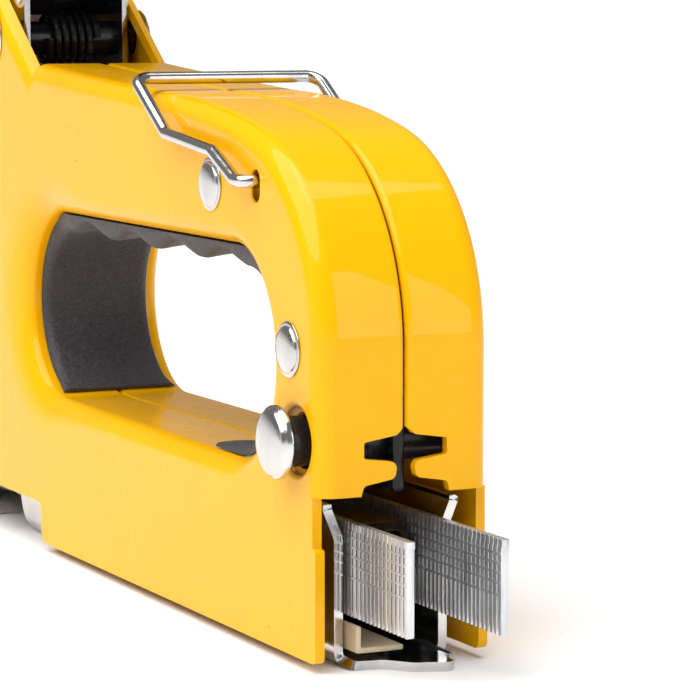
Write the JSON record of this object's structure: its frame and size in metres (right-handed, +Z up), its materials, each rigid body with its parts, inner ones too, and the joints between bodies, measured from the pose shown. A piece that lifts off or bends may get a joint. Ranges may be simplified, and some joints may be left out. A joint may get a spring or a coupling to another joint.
{
  "type": "staple gun",
  "caption": "Three-way hand staple gun: yellow pressed-steel shells, squeeze lever, wire lever lock, rubber-lined finger opening and a rear-loading magazine with T-nails.",
  "frame": {"origin": "on the underside of the magazine floor, under its middle", "axes": "+Z up, -X towards the nose, -Y towards the gun's left side"},
  "size_m": [0.1903, 0.0363, 0.162],
  "materials": {
    "yellow_paint": "high-gloss yellow enamel on pressed steel",
    "chrome": "bright nickel-chrome plating",
    "zinc_steel": "zinc-plated steel",
    "dark_steel": "hardened spring steel, dark",
    "black_oxide": "glossy black oxide",
    "grip_rubber": "soft charcoal rubber with a fine grain",
    "beige_plastic": "thin beige plastic strip"
  },
  "bodies": {
    "body": {"left_shell": "yellow_paint", "right_shell": "yellow_paint", "grip_insert": "grip_rubber", "magazine_channel": "chrome", "inner_rail": "dark_steel", "nail_guide": "beige_plastic", "nosepiece": "chrome", "rivet_rear_upper": "chrome", "rivet_rear_lower": "chrome", "rivet_front_upper": "chrome", "rivet_front_lower": "chrome", "spacer_rear_upper": "zinc_steel", "spacer_rear_lower": "zinc_steel", "spacer_front_upper": "zinc_steel", "spacer_front_lower": "zinc_steel", "lever_pin": "chrome", "buffer_pad": "grip_rubber", "main_spring": "zinc_steel", "spring_seat": "zinc_steel", "latch_plate": "black_oxide"},
    "lever": {"lever": "chrome", "return_spring": "zinc_steel"},
    "driver": {"driver_carrier": "zinc_steel", "driver_blade": "dark_steel"},
    "bail": {"bail": "chrome"},
    "button": {"release_button": "chrome", "release_pin": "black_oxide"},
    "strip_left": {"nail_strip_left": "zinc_steel"},
    "strip_right": {"nail_strip_right": "zinc_steel"},
    "screw": {"power_screw": "black_oxide"}
  },
  "joints": [
    {"name": "lever_hinge", "type": "hinge", "parent": "body", "child": "lever", "pos_m": [-0.0695, 0, 0.0895], "axis": [0, 1, 0], "range_deg": [0, 40], "stiffness_Nm_per_rad": 0.25, "springref_deg": -45.84},
    {"name": "driver_slide", "type": "slide", "parent": "body", "child": "driver", "axis": [0, 0, 1], "range_m": [0, 0.0194], "stiffness_N_per_m": 800, "springref_m": -0.01, "deforming": ["main_spring"]},
    {"name": "bail_hinge", "type": "hinge", "parent": "body", "child": "bail", "pos_m": [0.0463, 0, 0.07], "axis": [0, 1, 0], "range_deg": [0, 215]},
    {"name": "button_slide", "type": "slide", "parent": "body", "child": "button", "axis": [0, 1, 0], "range_m": [0, 0.002], "stiffness_N_per_m": 500, "springref_m": -0.004},
    {"name": "strip_left_slide", "type": "slide", "parent": "body", "child": "strip_left", "axis": [-1, 0, 0], "range_m": [0, 0.0195]},
    {"name": "strip_right_slide", "type": "slide", "parent": "body", "child": "strip_right", "axis": [-1, 0, 0], "range_m": [0, 0.0231]},
    {"name": "power_turn", "type": "hinge", "parent": "body", "child": "screw", "pos_m": [-0.0915, 0, 0.11], "axis": [0, 0, 1], "range_deg": [0, 360]}
  ],
  "couplings": [
    {"joint": "driver_slide", "follows": "lever_hinge", "m_per_rad": 0.027645}
  ]
}
